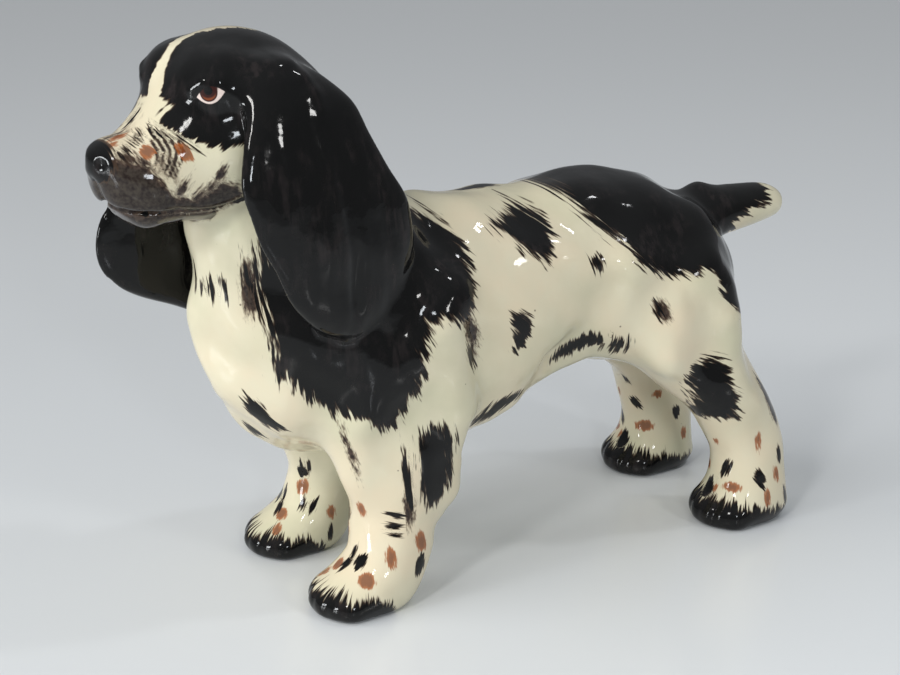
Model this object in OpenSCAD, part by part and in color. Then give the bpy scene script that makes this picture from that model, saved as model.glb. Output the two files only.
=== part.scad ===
// Standing spaniel figurine: nine slip-cast pieces, luted together and glazed.
// Millimetres, +Z up. The dog looks towards -Y and its left side is +X.
// The origin is on the ground, under the middle of the bounding box.

/* [Figurine] */
// Height from the soles to the crown of the head
dog_height = 90; // [60:1:140]
// Wall thickness of the hollow torso and head
wall = 3; // [2.5:0.1:3.6]

/* [Head] */
// Turn of the head towards the dog's left, in degrees
head_turn = 10; // [0:1:14]
// Half thickness of an ear flap
ear_half_thickness = 2.4; // [2:0.1:3]

/* [Stance] */
// Distance from the middle plane to the middle of a fore foot
fore_stance = 12.9; // [12:0.1:14]
// Distance from the middle plane to the middle of a hind foot
hind_stance = 13.9; // [13:0.1:15]

/* [Joints] */
// Height of the luted joint at the top of each fore leg
fore_joint_height = 20; // [19:0.5:20.5]
// Height of the luted joint at the top of each hind leg
hind_joint_height = 25; // [24.5:0.5:25.5]
// Radius of the firing vent under the belly
vent_radius = 1.3; // [1:0.1:2]

/* [Hidden] */
design_height = 90;
body_sides = 40;
cavity_sides = 20;
limb_sides = 24;
reach = 200;
white_glaze = "ivory";
black_glaze = "dimgray";

// Every table below is a list of cross sections, and a section is
// [x, y, z, tilt, half width, height above the middle, depth below the middle].
// Tilt 0 is an upright section seen from the front; tilt 90 is a level one.

// Rump to chest, then up the neck to the inside of the skull
torso_sections = [
    [0, 49.6, 37, 0, 2.5, 3, 4],
    [0, 48.4, 38, 0, 7, 6.4, 8],
    [0, 45.4, 41.6, 0, 11.6, 9.2, 11],
    [0, 40, 45, 0, 14.6, 11.6, 14.6],
    [0, 31, 46, 0, 16.5, 14.6, 16.8],
    [0, 21, 46, 0, 16, 16.2, 15.8],
    [0, 10, 45, 0, 15.7, 16, 17.6],
    [0, 0, 43.2, 0, 16.4, 17.9, 21.3],
    [0, -9, 42, 3, 17.3, 19.4, 21.6],
    [0, -17.2, 42.8, 18, 17.8, 19, 21.4],
    [0, -25, 46, 36, 17.6, 19.6, 23.2],
    [0, -29.6, 52.8, 50, 15.4, 17.8, 21],
    [0, -31.6, 60, 61, 13.2, 15.4, 17.6],
    [0, -33.4, 66.2, 68, 12.2, 13.6, 15.4],
    [0, -34.4, 73, 75, 11, 10.6, 12],
    [0, -34.8, 79, 82, 8, 7, 9]
];

// Ground to shoulder, as level sections of the left fore leg
fore_leg_sections = [
    [0, -25.6, 0, 90, 5.6, 6.8, 7.6],
    [0, -25.4, 2.2, 90, 6.8, 8.2, 8.6],
    [0, -24.2, 5, 90, 6.8, 8.4, 6.8],
    [-0.2, -22.4, 8.4, 90, 6.4, 8, 6],
    [-0.5, -21, 12, 90, 6.1, 7.4, 6.2],
    [-0.9, -20.4, 16, 90, 6.1, 8.2, 7],
    [-1.5, -20, 21, 90, 6.7, 10.4, 9],
    [-2.2, -19.8, 26, 90, 7.4, 12, 10.9],
    [-3.2, -19.8, 32, 90, 8, 12.4, 12.6],
    [-4.2, -19.5, 38, 90, 8, 12, 12.6],
    [-5.6, -19, 44, 90, 7, 10, 10.5],
    [-7.5, -19, 49, 90, 4, 5, 5.5]
];

// Ground to haunch, as level sections of the left hind leg
hind_leg_sections = [
    [0, 47.6, 0, 90, 5.6, 6.8, 7.8],
    [0, 47.6, 2.2, 90, 6.8, 8.2, 8.8],
    [0, 47.6, 5, 90, 6.8, 7.8, 7.2],
    [-0.2, 47.8, 9.4, 90, 6.2, 7.2, 6.2],
    [-0.5, 47.4, 14, 90, 5.9, 7.2, 6.4],
    [-1, 45.3, 19, 90, 6.1, 7.7, 7.2],
    [-1.8, 41.8, 24, 90, 6.9, 8.8, 8.6],
    [-2.6, 38.3, 28, 90, 7.6, 10.2, 10.2],
    [-3.8, 34, 33, 90, 8.2, 12, 12.2],
    [-5, 32.6, 39, 90, 8.2, 12.6, 13],
    [-6.4, 32.6, 45, 90, 7, 10.6, 11],
    [-8.4, 32.6, 50, 90, 4, 5, 5.5]
];

// Tip to root of the docked tail
tail_sections = [
    [0, 63.3, 52, 0, 0.6, 0.6, 0.6],
    [0, 62.2, 52, 0, 2.3, 2.2, 2.3],
    [0, 59, 52, 0, 3.5, 3.5, 3.2],
    [0, 53, 51.9, 0, 4.4, 4.4, 4.2],
    [0, 46, 52, 0, 5, 5, 5],
    [0, 38, 51, 0, 6, 6, 6]
];

// Nape to nose, in the head's own frame: the head looks towards -Y from its pivot
head_pivot = [0, -34, 0];
head_sections = [
    [0, 11.6, 73, 0, 5, 2.6, 5],
    [0, 8.6, 73, 0, 9, 7, 8],
    [0, 4.6, 73.4, 0, 11.8, 11.2, 10],
    [0, 0, 74.2, 0, 12.8, 14, 11],
    [0, -5, 75, 0, 13, 14.9, 12],
    [0, -10, 75.3, 0, 12.2, 14.6, 12.6],
    [0, -14.5, 74.6, 0, 10.6, 13.6, 12],
    [0, -17.6, 73.4, 0, 9.4, 11, 10.8],
    [0, -20.4, 72, 0, 8.4, 8.4, 9.4],
    [0, -23.4, 71, 0, 7.7, 6.6, 7.8],
    [0, -26.2, 70.8, 0, 6.6, 5.4, 5.4],
    [0, -28.4, 71.6, 0, 4.6, 3.6, 4.2],
    [0, -29.5, 72.4, 0, 2, 1.6, 2]
];

// Tip to root of the left ear, in the head's own frame; half widths are in ear half thicknesses
left_ear_sections = [
    [16.4, 1.2, 45.6, 90, 0.5, 1.2, 1.2],
    [16.6, 1.2, 46.8, 90, 0.8, 4.4, 3.8],
    [17, 1.2, 49.8, 90, 1, 7.8, 7.4],
    [17.2, 0.8, 53.5, 90, 1, 10.6, 10.4],
    [17.2, 0.2, 58.5, 90, 1, 12.8, 12.4],
    [16.6, -1, 64.5, 90, 1, 13.8, 13.1],
    [15.6, -3.1, 70, 90, 1, 13, 12.2],
    [14.6, -4.4, 75, 90, 1, 11.8, 9.8],
    [13.2, -5.2, 80, 90, 1.05, 10.4, 7],
    [11.2, -6, 83.4, 90, 1.1, 7.2, 4.2],
    [9.8, -6.2, 85.8, 90, 0.9, 2.6, 1.6]
];
// Tip to root of the right ear, which hangs further forward, drawn on the left side
right_ear_sections = [
    [16.4, -4.8, 43.2, 90, 0.5, 1, 1],
    [16.6, -5, 44.4, 90, 0.8, 3.4, 3.6],
    [17, -6, 46.6, 90, 1, 6.8, 7.8],
    [17.2, -7.4, 49.4, 90, 1, 10.2, 11],
    [17.2, -7.6, 53.5, 90, 1, 13, 13.4],
    [17.2, -6.2, 58.5, 90, 1, 14.6, 14.6],
    [16.6, -4.6, 64.5, 90, 1, 15, 13.4],
    [15.6, -3.6, 70, 90, 1, 13.4, 12.2],
    [14.6, -4.4, 75, 90, 1, 11.8, 9.8],
    [13.2, -5.2, 80, 90, 1.05, 10.4, 7],
    [11.2, -6, 83.4, 90, 1.1, 7.2, 4.2],
    [9.8, -6.2, 85.8, 90, 0.9, 2.6, 1.6]
];

// Middle of a fore foot and of a hind foot along the dog
fore_foot_y = -25.6;
hind_foot_y = 47.4;

// Toes: how far each sits from the middle of its foot, and how far forward its tip reaches
toe_offsets = [-4.7, -1.7, 1.7, 4.7];
toe_reach = [7.2, 9, 9, 7.2];
toe_radius = 1.9;

// Joint across the neck: a plane through this point, tilted like the sections near it
neck_joint_middle = [0, -32.9, 64.5];
neck_joint_tilt = 66;

// Firing vent: an upright hole through the belly into the cavity
vent_bottom = [0, 12, 20];
vent_length = 20;

function row_between(rows, i, t) =
    let (
        last = len(rows) - 1,
        a = rows[max(i - 1, 0)],
        b = rows[i],
        c = rows[i + 1],
        d = rows[min(i + 2, last)]
    )
    0.5 * (2 * b + (c - a) * t + (2 * a - 5 * b + 4 * c - d) * t * t + (3 * b - a - 3 * c + d) * t * t * t);

// The table's rows with `steps` sections drawn on a smooth curve from each row to the next
function smoothed(rows, steps) = [
    for (i = [0 : len(rows) - 2]) for (k = [0 : steps - 1]) row_between(rows, i, k / steps),
    rows[len(rows) - 1]
];

// The points round one section
function section_ring(row, sides) = [
    for (k = [0 : sides - 1])
        let (
            across = cos(360 * k / sides),
            along = sin(360 * k / sides),
            rise = along * (along > 0 ? row[5] : row[6])
        )
        [row[0] + row[4] * across, row[1] + rise * sin(row[3]), row[2] + rise * cos(row[3])]
];

// A closed skin over a table of sections
module loft(rows, sides, steps) {
    rings = smoothed(rows, steps);
    ends = len(rings) - 1;
    points = [for (row = rings) each section_ring(row, sides)];
    walls = [
        for (r = [0 : ends - 1]) for (k = [0 : sides - 1])
            let (a = r * sides + k, b = r * sides + (k + 1) % sides)
            each [[a, a + sides, b + sides], [a, b + sides, b]]
    ];
    first_cap = [for (k = [0 : sides - 1]) k];
    last_cap = [for (k = [sides - 1 : -1 : 0]) ends * sides + k];
    polyhedron(points, concat(walls, [first_cap, last_cap]), convexity = 6);
}

// The same sections drawn in by the wall thickness, leaving out the first `skip` of them
function drawn_in(rows, skip) = [
    for (i = [skip : len(rows) - 1])
        let (r = rows[i])
        [r[0], r[1], r[2], r[3], max(r[4] - wall, 1), max(r[5] - wall, 1), max(r[6] - wall, 1)]
];

function shifted(rows, x) = [for (r = rows) [r[0] + x, r[1], r[2], r[3], r[4], r[5], r[6]]];

module ball(x, y, z, r) {
    translate([x, y, z]) sphere(r = r, $fn = 16);
}

module on_right_side() {
    mirror([1, 0, 0]) children();
}

module in_head_frame() {
    translate(head_pivot) rotate([0, 0, head_turn]) children();
}

// Everything above a level plane
module above(height) {
    translate([-reach / 2, -reach / 2, height]) cube(reach);
}

// Everything on the head's side of the neck joint
module above_neck_joint() {
    translate(neck_joint_middle) rotate([90 - neck_joint_tilt, 0, 0]) translate([-reach / 2, -reach / 2, 0])
        cube(reach);
}

module toe(side, tip, foot_y) {
    knuckle_height = 3.8;
    hull() {
        ball(side * 0.9, foot_y - tip + 4.6, knuckle_height, toe_radius);
        ball(side, foot_y - tip + 2.4, 2.9, toe_radius);
    }
    hull() {
        ball(side, foot_y - tip + 2.4, 2.9, toe_radius);
        ball(side, foot_y - tip + toe_radius, toe_radius, toe_radius);
    }
}

module toes(foot_x, foot_y) {
    for (i = [0 : len(toe_offsets) - 1])
        translate([foot_x, 0, 0]) toe(toe_offsets[i], toe_reach[i], foot_y);
}

module fore_leg_form() {
    loft(shifted(fore_leg_sections, fore_stance), limb_sides, 2);
    toes(fore_stance, fore_foot_y);
}

module hind_leg_form() {
    loft(shifted(hind_leg_sections, hind_stance), limb_sides, 2);
    toes(hind_stance, hind_foot_y);
}

// A cushion of clay between two points
module pad(from, to, r) {
    hull() {
        ball(from[0], from[1], from[2], r);
        ball(to[0], to[1], to[2], r);
    }
}

// Lips, brow and cheek of one side of the face
module face_side() {
    pad([2.4, -25.4, 69], [4.6, -22.6, 69.2], 2.8);
    pad([4.6, -22.6, 69.2], [5.6, -16, 68.6], 3.2);
    pad([5.6, -16, 68.6], [7.4, -9, 69.4], 3.3);
    pad([5, -15.2, 83.6], [7.6, -11.5, 83.4], 3);
    pad([7.8, -14.8, 81.6], [8, -14.2, 82.4], 2.6);
}

module head_form() {
    loft(head_sections, body_sides, 2);
    face_side();
    on_right_side() face_side();
    pad([-2, -22.6, 66.4], [2, -22.6, 66.4], 2.9);
    pad([-1.3, -27.9, 73.8], [1.3, -27.9, 73.8], 2);
}

// Torso, neck and the tops of the legs, before it is hollowed or cut at the neck
module torso_form() {
    loft(torso_sections, body_sides, 3);
    intersection() {
        fore_leg_pair();
        above(fore_joint_height);
    }
    intersection() {
        hind_leg_pair();
        above(hind_joint_height);
    }
}

module fore_leg_pair() {
    fore_leg_form();
    on_right_side() fore_leg_form();
}

module hind_leg_pair() {
    hind_leg_form();
    on_right_side() hind_leg_form();
}

module cavity() {
    loft(drawn_in(torso_sections, 2), cavity_sides, 2);
}

module skull_cavity() {
    in_head_frame() loft(drawn_in([for (i = [2 : 8]) head_sections[i]], 0), cavity_sides, 1);
}

module torso() {
    color(white_glaze) difference() {
        torso_form();
        above_neck_joint();
        cavity();
        translate(vent_bottom) cylinder(r = vent_radius, h = vent_length, $fn = 16);
    }
}

module head() {
    color(white_glaze) difference() {
        intersection() {
            union() {
                in_head_frame() head_form();
                loft(torso_sections, body_sides, 3);
            }
            above_neck_joint();
        }
        cavity();
        skull_cavity();
    }
}

module ear_form(sections) {
    rows = [for (r = sections) [r[0], r[1], r[2], r[3], r[4] * ear_half_thickness, r[5], r[6]]];
    loft(rows, limb_sides, 2);
}

// An ear rests on the head and neck, and its seat takes their shape
module seated_ear() {
    difference() {
        in_head_frame() children();
        in_head_frame() head_form();
        torso_form();
    }
}

module left_ear() {
    color(black_glaze) seated_ear() ear_form(left_ear_sections);
}

module right_ear() {
    color(black_glaze) seated_ear() on_right_side() ear_form(right_ear_sections);
}

module front_left_leg() {
    color(white_glaze) difference() {
        fore_leg_form();
        above(fore_joint_height);
    }
}

module front_right_leg() {
    color(white_glaze) on_right_side() front_left_leg();
}

module hind_left_leg() {
    color(white_glaze) difference() {
        hind_leg_form();
        above(hind_joint_height);
    }
}

module hind_right_leg() {
    color(white_glaze) on_right_side() hind_left_leg();
}

module tail() {
    color(white_glaze) difference() {
        loft(tail_sections, limb_sides, 2);
        torso_form();
    }
}

module at_size() {
    scale(dog_height / design_height) children();
}

at_size() torso();
at_size() head();
at_size() left_ear();
at_size() right_ear();
at_size() front_left_leg();
at_size() front_right_leg();
at_size() hind_left_leg();
at_size() hind_right_leg();
at_size() tail();
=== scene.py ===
"""Looks of the ceramic spaniel: one smooth glazed skin, cut into its nine cast pieces and painted by hand."""
import math

import bpy
import numpy as np
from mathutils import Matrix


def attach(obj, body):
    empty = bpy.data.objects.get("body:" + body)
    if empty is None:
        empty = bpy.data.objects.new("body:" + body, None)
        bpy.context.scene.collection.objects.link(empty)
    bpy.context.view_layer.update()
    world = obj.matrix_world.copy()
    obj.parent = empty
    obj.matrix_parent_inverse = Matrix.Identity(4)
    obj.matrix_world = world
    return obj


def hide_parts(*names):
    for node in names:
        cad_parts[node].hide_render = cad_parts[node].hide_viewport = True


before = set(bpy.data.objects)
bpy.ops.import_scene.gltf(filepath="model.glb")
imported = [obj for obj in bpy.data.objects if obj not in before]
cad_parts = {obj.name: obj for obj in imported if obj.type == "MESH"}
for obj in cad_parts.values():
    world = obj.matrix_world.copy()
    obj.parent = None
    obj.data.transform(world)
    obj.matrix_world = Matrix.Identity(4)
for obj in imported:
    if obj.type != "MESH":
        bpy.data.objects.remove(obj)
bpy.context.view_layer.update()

import openvdb
from mathutils import Vector

MM = 0.001                      # the sculpt is worked in millimetres
GRAIN = 0.36                    # spacing of the clay grid
BAND = 3.0                      # depth of clay kept on each side of the surface
HEAD_TURN = math.radians(10)
HEAD_PIVOT = np.array([0.0, -34.0, 0.0])
FORE_FOOT = (12.9, -25.6)
HIND_FOOT = (13.9, 47.4)
FORE_JOINT = 20.0
HIND_JOINT = 25.0
NECK_MIDDLE = (-32.9, 64.5)     # y and z of a point on the neck joint
NECK_TILT = math.radians(66)
EAR_HALF = 2.4                  # half thickness of an ear flap
END_FLATNESS = 2.5              # how much lower than round the end of a form is
RELIEF_WAVES = 9                # slow waves of unevenness left by the modeller's hand
RELIEF_HEIGHT = 1.5
STROKE_SHIFT = 7.3              # how far each patch or dab moves on in the strokes' noise
NO_PAINT = -9.0                 # depth, in a paint, of a point that it never reached

# Cross sections: x, y, z, tilt in degrees, half width, height above the middle, depth below it.
TORSO = [
    (0, 48.4, 39.8, 0, 3, 2.6, 3.2),
    (0, 48.0, 39.8, 0, 6.4, 5.6, 6.6),
    (0, 46.9, 40.4, 0, 9.6, 7.8, 9.4),
    (0, 45.4, 41.6, 0, 11.6, 9.2, 11),
    (0, 40, 45, 0, 14.6, 11.6, 14.6),
    (0, 31, 46, 0, 16.5, 14.6, 16.8),
    (0, 21, 46, 0, 16, 16.2, 15.8),
    (0, 10, 45, 0, 15.7, 16, 17.6),
    (0, 0, 43.2, 0, 16.4, 17.9, 21.3),
    (0, -9, 42, 3, 17.3, 19.4, 21.6),
    (0, -17.2, 42.8, 18, 17.8, 19, 21.4),
    (0, -25, 46, 36, 17.6, 19.6, 23.2),
    (0, -29.6, 52.8, 50, 15.4, 17.8, 21),
    (0, -31.6, 60, 61, 13.2, 15.4, 17.6),
    (0, -33.4, 66.2, 68, 12.2, 13.6, 15.4),
    (0, -34.4, 73, 75, 11, 10.6, 12),
    (0, -34.8, 79, 82, 8, 7, 9),
]
FORE_LEG = [
    (0, -25.6, 0, 90, 5.6, 6.8, 7.6),
    (0, -25.4, 2.2, 90, 6.8, 8.2, 8.6),
    (0, -24.2, 5, 90, 6.8, 8.4, 6.8),
    (-0.2, -22.4, 8.4, 90, 6.4, 8, 6),
    (-0.5, -21, 12, 90, 6.1, 7.4, 6.2),
    (-0.9, -20.4, 16, 90, 6.1, 8.2, 7),
    (-1.5, -20, 21, 90, 6.7, 10.4, 9),
    (-2.2, -19.8, 26, 90, 7.4, 12, 10.9),
    (-3.2, -19.8, 32, 90, 8, 12.4, 12.6),
    (-4.2, -19.5, 38, 90, 8, 12, 12.6),
    (-5.6, -19, 44, 90, 7, 10, 10.5),
    (-7.5, -19, 49, 90, 4, 5, 5.5),
]
HIND_LEG = [
    (0, 47.6, 0, 90, 5.6, 6.8, 7.8),
    (0, 47.6, 2.2, 90, 6.8, 8.2, 8.8),
    (0, 47.6, 5, 90, 6.8, 7.8, 7.2),
    (-0.2, 47.8, 9.4, 90, 6.2, 7.2, 6.2),
    (-0.5, 47.4, 14, 90, 5.9, 7.2, 6.4),
    (-1, 45.3, 19, 90, 6.1, 7.7, 7.2),
    (-1.8, 41.8, 24, 90, 6.9, 8.8, 8.6),
    (-2.6, 38.3, 28, 90, 7.6, 10.2, 10.2),
    (-3.8, 34, 33, 90, 8.2, 12, 12.2),
    (-5, 32.6, 39, 90, 8.2, 12.6, 13),
    (-6.4, 32.6, 45, 90, 7, 10.6, 11),
    (-8.4, 32.6, 50, 90, 4, 5, 5.5),
]
TAIL = [
    (0, 63.3, 52, 0, 0.6, 0.6, 0.6),
    (0, 62.2, 52, 0, 2.3, 2.2, 2.3),
    (0, 59, 52, 0, 3.5, 3.5, 3.2),
    (0, 53, 51.9, 0, 4.4, 4.0, 4.2),
    (0, 46, 51.6, 0, 5, 4.6, 5),
    (0, 38, 50.4, 0, 6, 5.4, 6),
]
HEAD = [
    (0, 11.6, 73, 0, 5, 2.6, 5),
    (0, 8.6, 73, 0, 9, 7, 8),
    (0, 4.6, 73.4, 0, 11.8, 11.2, 10),
    (0, 0, 74.2, 0, 12.8, 14, 11),
    (0, -5, 75, 0, 13, 14.9, 12),
    (0, -10, 75.3, 0, 12.2, 14.6, 12.6),
    (0, -14.5, 74.6, 0, 10.6, 13.6, 12),
    (0, -17.6, 73.4, 0, 9.4, 11, 10.8),
    (0, -20.4, 72, 0, 8.4, 8.4, 9.4),
    (0, -23.4, 71, 0, 7.7, 6.6, 7.8),
    (0, -26.2, 70.8, 0, 6.6, 5.4, 5.4),
    (0, -28.4, 71.6, 0, 4.6, 3.6, 4.2),
    (0, -29.5, 72.4, 0, 2, 1.6, 2),
]
# The half widths of the ears are in ear half thicknesses.
EAR_ROOT = [
    (14.6, -4.4, 75, 90, 1, 11.8, 9.8),
    (13.2, -5.2, 80, 90, 1.05, 10.4, 7),
    (11.2, -6, 83.4, 90, 1.1, 7.2, 4.2),
    (9.8, -6.2, 85.8, 90, 0.9, 2.6, 1.6),
]
LEFT_EAR = [
    (16.4, 1.2, 45.6, 90, 0.5, 1.2, 1.2),
    (16.6, 1.2, 46.8, 90, 0.8, 4.4, 3.8),
    (17, 1.2, 49.8, 90, 1, 7.8, 7.4),
    (17.2, 0.8, 53.5, 90, 1, 10.6, 10.4),
    (17.2, 0.2, 58.5, 90, 1, 12.8, 12.4),
    (16.6, -1, 64.5, 90, 1, 13.8, 13.1),
    (15.6, -3.1, 70, 90, 1, 13, 12.2),
] + EAR_ROOT
RIGHT_EAR = [
    (16.4, -4.8, 43.2, 90, 0.5, 1, 1),
    (16.6, -5, 44.4, 90, 0.8, 3.4, 3.6),
    (17, -6, 46.6, 90, 1, 6.8, 7.8),
    (17.2, -7.4, 49.4, 90, 1, 10.2, 11),
    (17.2, -7.6, 53.5, 90, 1, 13, 13.4),
    (17.2, -6.2, 58.5, 90, 1, 14.6, 14.6),
    (16.6, -4.6, 64.5, 90, 1, 15, 13.4),
    (15.6, -3.6, 70, 90, 1, 13.4, 12.2),
] + EAR_ROOT


# ---------------------------------------------------------------- camera, floor and light

CAMERA_PLACE = Vector((0.24247, -0.13774, 0.12748))
CAMERA_TARGET = Vector((0.0, -0.00356, 0.03669))
SKY_SIDE = Vector((-0.15, -0.95, 0.60))         # where the broad daylight comes from
ROOM_LOW, ROOM_HIGH = 0.19, 0.40                # strength of the room's light at the horizon and overhead
FLOOR_GREY = (0.80, 0.83, 0.85, 1.0)
WINDOW_AIM = Vector((0.0, 0.0, 0.04))
# Small paned windows: name, place, width and height of a pane, its power, and its colour.
WINDOWS = (
    ("left_window", (0.30, -0.46, 0.44), 0.036, 0.052, 0.25, (1.0, 0.98, 0.95)),
    ("low_window", (0.56, -0.16, 0.24), 0.026, 0.038, 0.12, (0.90, 0.95, 1.0)),
    ("right_window", (0.50, 0.16, 0.24), 0.024, 0.036, 0.10, (1.0, 0.99, 0.97)),
    ("high_window", (0.16, 0.24, 0.56), 0.018, 0.026, 0.07, (0.97, 0.98, 1.0)),
    ("front_window", (0.06, -0.60, 0.11), 0.040, 0.058, 0.24, (0.95, 0.98, 1.0)),
)


def make_camera():
    data = bpy.data.cameras.new("camera")
    camera = bpy.data.objects.new("camera", data)
    bpy.context.collection.objects.link(camera)
    data.lens = 71.4
    data.sensor_width = 36.0
    data.clip_start = 0.01
    camera.location = CAMERA_PLACE
    camera.rotation_euler = (CAMERA_TARGET - CAMERA_PLACE).to_track_quat("-Z", "Y").to_euler()
    bpy.context.scene.camera = camera


def soft_light(name, place, aim, width, height, power, colour):
    data = bpy.data.lights.new(name, "AREA")
    data.shape = "RECTANGLE"
    data.size = width
    data.size_y = height
    data.energy = power
    data.color = colour
    lamp = bpy.data.objects.new(name, data)
    bpy.context.collection.objects.link(lamp)
    lamp.location = place
    lamp.rotation_euler = (Vector(aim) - Vector(place)).to_track_quat("-Z", "Y").to_euler()


def paned_window(name, place, width, height, power, colour):
    """Four panes close together, seen as one small window in the glaze."""
    forward = (WINDOW_AIM - Vector(place)).normalized()
    across = forward.cross(Vector((0, 0, 1))).normalized()
    up = across.cross(forward)
    for column in (-0.55, 0.55):
        for row in (-0.55, 0.55):
            corner = Vector(place) + across * column * width + up * row * height
            soft_light(name, corner, corner + forward, width, height, power, colour)


def pale_room():
    """Even pale light all round, brighter overhead."""
    world = bpy.data.worlds.new("studio")
    world.use_nodes = True
    nodes, links = world.node_tree.nodes, world.node_tree.links
    direction = nodes.new("ShaderNodeTexCoord").outputs["Generated"]
    height = nodes.new("ShaderNodeSeparateXYZ")
    strength = nodes.new("ShaderNodeMapRange")
    strength.interpolation_type = "SMOOTHSTEP"
    links.new(direction, height.inputs[0])
    links.new(height.outputs["Z"], strength.inputs["Value"])
    strength.inputs["From Min"].default_value = 0.1
    strength.inputs["From Max"].default_value = 1.0
    strength.inputs["To Min"].default_value = ROOM_LOW
    strength.inputs["To Max"].default_value = ROOM_HIGH
    background = nodes["Background"]
    background.inputs["Color"].default_value = (0.93, 0.96, 1.0, 1.0)
    links.new(strength.outputs["Result"], background.inputs["Strength"])
    return world


def make_studio():
    """A pale floor and room, broad daylight from the dog's front, and five small windows for the glints."""
    bpy.ops.mesh.primitive_plane_add(size=6.0, location=(0, 0, 0))
    floor = bpy.context.object
    floor.name = "floor"
    material = bpy.data.materials.new("floor_board")
    material.use_nodes = True
    shader = material.node_tree.nodes["Principled BSDF"]
    shader.inputs["Base Color"].default_value = FLOOR_GREY
    shader.inputs["Roughness"].default_value = 0.22
    floor.data.materials.append(material)
    bpy.context.scene.world = pale_room()
    bpy.context.scene.view_settings.view_transform = "Standard"
    day = bpy.data.lights.new("daylight", "SUN")
    day.energy = 1.55
    day.angle = math.radians(60)
    day.color = (1.0, 0.985, 0.96)
    sky = bpy.data.objects.new("daylight", day)
    bpy.context.collection.objects.link(sky)
    sky.rotation_euler = (-SKY_SIDE).to_track_quat("-Z", "Y").to_euler()
    sky.visible_glossy = False
    for window in WINDOWS:
        paned_window(*window)


# ---------------------------------------------------------------- clay: fields on a grid, negative inside

def softer_min(a, b, blend):
    """The union of two bodies, with a fillet about as wide as `blend`."""
    h = np.maximum(blend - np.abs(a - b), 0.0) / blend
    return np.minimum(a, b) - h * h * blend * 0.25


def softer_max(a, b, blend):
    """What two bodies share, with the edge rounded."""
    return -softer_min(-a, -b, blend)


def smooth_run(a, b, c, d, steps):
    """Points from b up to c, on a smooth curve through a, b, c and d."""
    for step in range(steps):
        t = step / steps
        yield 0.5 * (2 * b + (c - a) * t + (2 * a - 5 * b + 4 * c - d) * t ** 2
                     + (3 * b - a - 3 * c + d) * t ** 3)


def smoothed(rows, steps=12):
    """Sections drawn on a smooth curve through a table's rows."""
    table = np.array(rows, float)
    last = len(table) - 1
    out = []
    for i in range(last):
        out.extend(smooth_run(*(table[j] for j in (max(i - 1, 0), i, i + 1, min(i + 2, last))), steps))
    return np.array(out + [table[last]])


def rounded(across, rise, beyond, half, up, down):
    """Distance to an elliptical section, given the offsets from its middle. The ends are low domes."""
    height = np.where(rise > 0, up, down)
    beyond = beyond * END_FLATNESS
    far = np.sqrt(across ** 2 + rise ** 2 + beyond ** 2) + 1e-6
    share = np.sqrt((across / half) ** 2 + (rise / height) ** 2
                    + (beyond / np.minimum(half, height)) ** 2) + 1e-6
    return far * (1.0 - 1.0 / share)


def loft(rows):
    """A field function for a table whose sections are all upright, or all level."""
    table = smoothed(rows)
    level = table[0, 3] > 45
    column = 2 if level else 1
    table = table[np.argsort(table[:, column])]
    key = table[:, column]

    def field(x, y, z):
        along, other = (z, y) if level else (y, z)
        at = np.clip(along, key[0], key[-1])
        beyond = along - at
        middle_x, middle, half, up, down = (
            np.interp(at, key, table[:, j]) for j in (0, 1 if level else 2, 4, 5, 6))
        return rounded(x - middle_x, other - middle, beyond, half, up, down)
    return field


def fanned_loft(rows):
    """A field function for the torso, whose sections turn from upright to level up the neck."""
    table = smoothed(rows)
    tilt = np.radians(table[:, 3])
    sine, cosine = np.sin(tilt), np.cos(tilt)

    def field(x, y, z):
        y_flat, z_flat = (np.broadcast_to(a, np.broadcast(y, z).shape) for a in (y, z))
        shape = y_flat.shape
        y_flat, z_flat = y_flat.reshape(-1, 1), z_flat.reshape(-1, 1)
        dy, dz = y_flat - table[:, 1], z_flat - table[:, 2]
        ahead = dz * sine - dy * cosine
        rise = dy * sine + dz * cosine
        crossing = (ahead[:, :-1] >= 0) & (ahead[:, 1:] < 0)
        cost = np.where(crossing, np.abs(rise[:, :-1]), 1e6)
        index = np.argmin(cost, axis=1)
        found = cost[np.arange(len(cost)), index] < 1e6
        index = np.where(found, index, np.where(ahead[:, 0] < 0, 0, len(table) - 2))
        row = np.arange(len(index))
        here, there = ahead[row, index], ahead[row, index + 1]
        part = np.clip(here / np.where(here == there, 1.0, here - there), 0, 1)
        beyond = np.where(found, 0.0, np.where(index == 0, -here, there))
        y_mid, z_mid, angle, half, up, down = (
            table[index, j] * (1 - part) + table[index + 1, j] * part for j in (1, 2, 3, 4, 5, 6))
        lean = np.radians(angle)
        height = (y_flat[:, 0] - y_mid) * np.sin(lean) + (z_flat[:, 0] - z_mid) * np.cos(lean)
        return rounded(x, *(a.reshape(shape) for a in (height, beyond, half, up, down)))
    return field


def ball(place, size):
    """A round or egg-shaped lump."""
    radii = np.broadcast_to(np.array(size, float), (3,))

    def field(x, y, z):
        dx, dy, dz = x - place[0], y - place[1], z - place[2]
        share = np.sqrt((dx / radii[0]) ** 2 + (dy / radii[1]) ** 2 + (dz / radii[2]) ** 2) + 1e-6
        slope = np.sqrt((dx / radii[0] ** 2) ** 2 + (dy / radii[1] ** 2) ** 2
                        + (dz / radii[2] ** 2) ** 2) + 1e-6
        return share * (share - 1.0) / slope
    return field


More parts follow.
